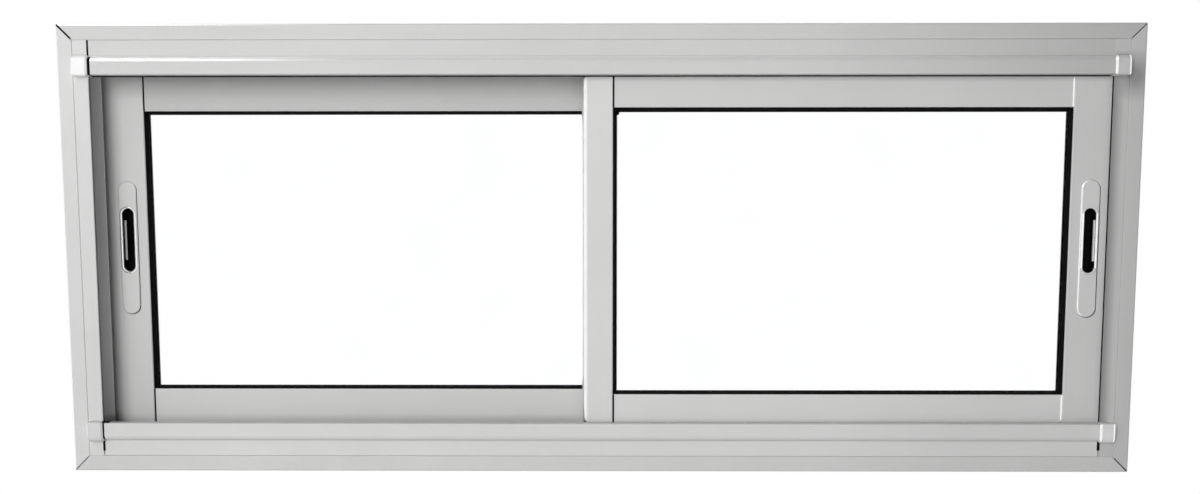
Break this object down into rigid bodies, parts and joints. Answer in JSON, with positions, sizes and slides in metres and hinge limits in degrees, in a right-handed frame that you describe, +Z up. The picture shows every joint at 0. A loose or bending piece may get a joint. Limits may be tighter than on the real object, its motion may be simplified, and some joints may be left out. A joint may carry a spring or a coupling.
{
  "type": "horizontal sliding window",
  "caption": "Horizontal sliding window: a two-track aluminium frame with mitred trim and glazed sashes that slide past each other, with flush pulls and interlocking stiles.",
  "frame": {"origin": "on the wall's face, behind the middle of the sill trim: the flat back of the trim that laps the wall", "axes": "+X to the right seen from the pull side, +Y into the wall, +Z up"},
  "size_m": [1.2, 0.0914, 0.5001],
  "materials": {
    "frame_coat": "satin light-grey powder coat on extruded aluminium",
    "cap_plastic": "moulded light-grey plastic",
    "clear_glass": "clear float glass",
    "black_gasket": "matt black wedge gasket",
    "pull_coat": "satin light-grey coated die casting",
    "black_cup": "black moulded plastic",
    "lever_plastic": "light-grey moulded plastic",
    "plated_steel": "zinc-plated pressed steel",
    "white_nylon": "off-white moulded nylon"
  },
  "bodies": {
    "frame": {"head_trim": "frame_coat", "sill_trim": "frame_coat", "left_trim": "frame_coat", "right_trim": "frame_coat", "head_track": "frame_coat", "sill_track": "frame_coat", "head_lip": "frame_coat", "sill_lip": "frame_coat", "head_fins": "frame_coat", "sill_fins": "frame_coat", "left_jamb": "frame_coat", "right_jamb": "frame_coat", "keepers": "plated_steel", "head_left_cap": "cap_plastic", "head_right_cap": "cap_plastic", "sill_left_cap": "cap_plastic", "sill_right_cap": "cap_plastic"},
    "left_sash": {"left_lock_stile": "frame_coat", "left_meeting_stile": "frame_coat", "left_interlock": "frame_coat", "left_top_rail": "frame_coat", "left_bottom_rail": "frame_coat", "left_glass": "clear_glass", "left_front_gasket": "black_gasket", "left_back_gasket": "black_gasket", "left_pull_plate": "pull_coat", "left_pull_cup": "black_cup", "left_pull_lever": "lever_plastic", "left_roller_housings": "plated_steel", "left_roller_wheels": "white_nylon", "left_guide_blocks": "white_nylon"},
    "right_sash": {"right_lock_stile": "frame_coat", "right_meeting_stile": "frame_coat", "right_interlock": "frame_coat", "right_top_rail": "frame_coat", "right_bottom_rail": "frame_coat", "right_glass": "clear_glass", "right_front_gasket": "black_gasket", "right_back_gasket": "black_gasket", "right_pull_plate": "pull_coat", "right_pull_cup": "black_cup", "right_pull_lever": "lever_plastic", "right_roller_housings": "plated_steel", "right_roller_wheels": "white_nylon", "right_guide_blocks": "white_nylon"}
  },
  "joints": [
    {"name": "left_sash_slide", "type": "slide", "parent": "frame", "child": "left_sash", "axis": [1, 0, 0], "range_m": [0, 0.54]},
    {"name": "right_sash_slide", "type": "slide", "parent": "frame", "child": "right_sash", "axis": [-1, 0, 0], "range_m": [0, 0.54]}
  ]
}
